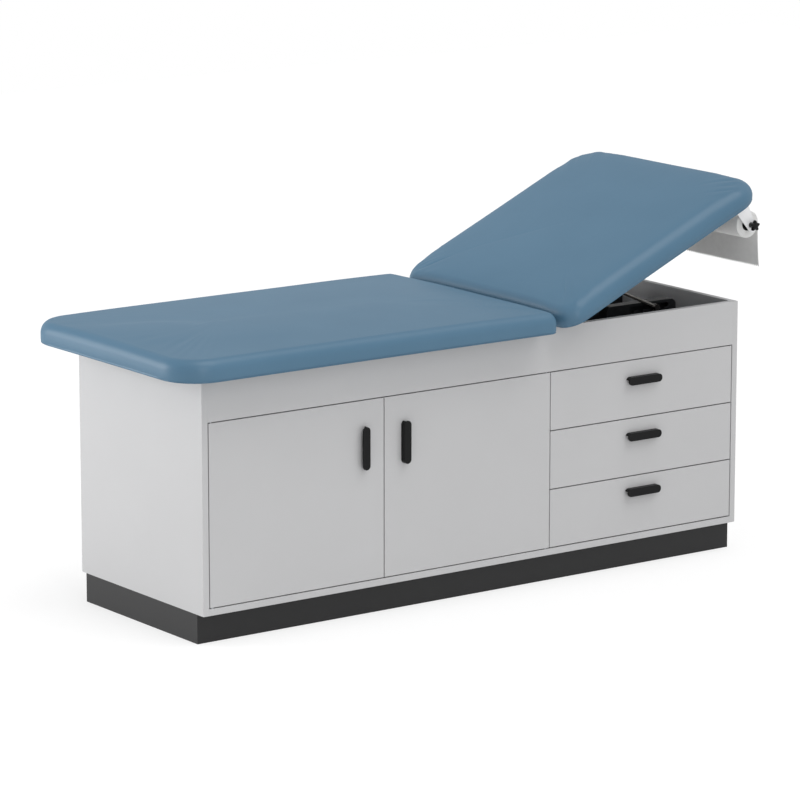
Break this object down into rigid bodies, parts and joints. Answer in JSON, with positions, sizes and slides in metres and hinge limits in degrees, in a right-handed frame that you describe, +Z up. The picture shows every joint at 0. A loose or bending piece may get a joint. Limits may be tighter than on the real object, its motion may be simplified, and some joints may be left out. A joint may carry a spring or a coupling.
{
  "type": "treatment bed",
  "caption": "Treatment bed: a laminated cabinet with doors and drawers, a vinyl seat cushion, and a tilting backrest with a notched-rail stay and a paper roll.",
  "frame": {"origin": "centre of the cabinet's footprint, on the floor", "axes": "+X along the bed to the head end, where the backrest and the drawers are; +Y to the plain back; +Z up; the doors and drawers face -Y"},
  "size_m": [1.9976, 0.78, 1.0708],
  "materials": {
    "laminate": "satin white laminate on board",
    "plinth_laminate": "matt black laminate on board",
    "plywood": "sanded plywood",
    "vinyl_on_foam": "satin blue upholstery vinyl over foam",
    "black_plastic": "fine-textured black plastic",
    "zinc_steel": "zinc-plated steel",
    "dark_steel": "satin black paint",
    "white_metal": "satin white paint",
    "paper": "matt white examination paper"
  },
  "bodies": {
    "cabinet": {"toe_board_front": "plinth_laminate", "toe_board_rear": "plinth_laminate", "toe_board_foot_end": "plinth_laminate", "toe_board_head_end": "plinth_laminate", "cross_bearer": "plinth_laminate", "bottom_panel": "laminate", "foot_end_panel": "laminate", "head_end_panel": "laminate", "back_panel": "laminate", "front_rail": "laminate", "centre_divider": "laminate", "drawer_partition": "laminate", "well_deck": "laminate", "top_panel": "laminate", "well_header": "laminate", "left_shelf": "laminate", "right_shelf": "laminate", "shelf_supports": "zinc_steel", "door_catches": "black_plastic", "door_pivot_pins": "zinc_steel", "outer_runners": "zinc_steel", "hinge_lugs": "dark_steel", "front_notched_rail": "dark_steel", "rear_notched_rail": "dark_steel", "frame_bolts": "zinc_steel", "seat_board": "plywood", "seat_cushion": "vinyl_on_foam"},
    "top_drawer": {"top_drawer_front": "laminate", "top_drawer_box": "plywood", "top_drawer_bottom": "plywood", "top_drawer_pull": "black_plastic", "top_drawer_inner_runners": "zinc_steel"},
    "top_runner_middles": {"top_drawer_middle_runners": "zinc_steel"},
    "centre_drawer": {"centre_drawer_front": "laminate", "centre_drawer_box": "plywood", "centre_drawer_bottom": "plywood", "centre_drawer_pull": "black_plastic", "centre_drawer_inner_runners": "zinc_steel"},
    "centre_runner_middles": {"centre_drawer_middle_runners": "zinc_steel"},
    "low_drawer": {"low_drawer_front": "laminate", "low_drawer_box": "plywood", "low_drawer_bottom": "plywood", "low_drawer_pull": "black_plastic", "low_drawer_inner_runners": "zinc_steel"},
    "low_runner_middles": {"low_drawer_middle_runners": "zinc_steel"},
    "left_door": {"left_door": "laminate", "left_door_pull": "black_plastic"},
    "right_door": {"right_door": "laminate", "right_door_pull": "black_plastic"},
    "backrest": {"backrest_board": "plywood", "backrest_cushion": "vinyl_on_foam", "hinge_brackets": "dark_steel", "stay_brackets": "dark_steel", "pivot_pins": "zinc_steel", "roll_brackets": "white_metal"},
    "stay": {"stay_frame": "dark_steel"},
    "paper_roll": {"paper_roll": "paper", "roll_spindle": "black_plastic"},
    "star_knob": {"star_knob": "black_plastic"},
    "hanging_paper": {"hanging_paper": "paper"}
  },
  "joints": [
    {"name": "left_door_swing", "type": "hinge", "parent": "cabinet", "child": "left_door", "pos_m": [-0.87, -0.292, 0.345], "axis": [0, 0, -1], "range_deg": [0, 90]},
    {"name": "right_door_swing", "type": "hinge", "parent": "cabinet", "child": "right_door", "pos_m": [0.225, -0.292, 0.345], "axis": [0, 0, 1], "range_deg": [0, 90]},
    {"name": "top_drawer_slide", "type": "slide", "parent": "cabinet", "child": "top_drawer", "axis": [0, -1, 0], "range_m": [0, 0.43]},
    {"name": "top_runner_slide", "type": "slide", "parent": "cabinet", "child": "top_runner_middles", "axis": [0, -1, 0], "range_m": [0, 0.215]},
    {"name": "centre_drawer_slide", "type": "slide", "parent": "cabinet", "child": "centre_drawer", "axis": [0, -1, 0], "range_m": [0, 0.43]},
    {"name": "centre_runner_slide", "type": "slide", "parent": "cabinet", "child": "centre_runner_middles", "axis": [0, -1, 0], "range_m": [0, 0.215]},
    {"name": "low_drawer_slide", "type": "slide", "parent": "cabinet", "child": "low_drawer", "axis": [0, -1, 0], "range_m": [0, 0.43]},
    {"name": "low_runner_slide", "type": "slide", "parent": "cabinet", "child": "low_runner_middles", "axis": [0, -1, 0], "range_m": [0, 0.215]},
    {"name": "backrest_tilt", "type": "hinge", "parent": "cabinet", "child": "backrest", "pos_m": [0.248, 0, 0.6953], "axis": [0, -1, 0], "range_deg": [-24.2, 15.8]},
    {"name": "stay_swing", "type": "hinge", "parent": "backrest", "child": "stay", "pos_m": [0.48697, 0, 0.8027], "axis": [0, -1, 0], "range_deg": [-31.7, 48.5]},
    {"name": "paper_roll_turn", "type": "hinge", "parent": "backrest", "child": "paper_roll", "pos_m": [0.93798, 0, 0.92865], "axis": [0, 1, 0], "continuous": true},
    {"name": "star_knob_turn", "type": "hinge", "parent": "paper_roll", "child": "star_knob", "pos_m": [0.93798, 0, 0.92865], "axis": [0, 1, 0], "continuous": true},
    {"name": "hanging_paper_swing", "type": "hinge", "parent": "backrest", "child": "hanging_paper", "pos_m": [0.93798, 0, 0.92865], "axis": [0, -1, 0], "range_deg": [-15.9, 24.3]}
  ],
  "couplings": [
    {"joint": "top_runner_slide", "follows": "top_drawer_slide", "ratio": 0.5},
    {"joint": "centre_runner_slide", "follows": "centre_drawer_slide", "ratio": 0.5},
    {"joint": "low_runner_slide", "follows": "low_drawer_slide", "ratio": 0.5},
    {"joint": "stay_swing", "follows": "backrest_tilt", "ratio": -2},
    {"joint": "hanging_paper_swing", "follows": "backrest_tilt", "ratio": -1}
  ]
}
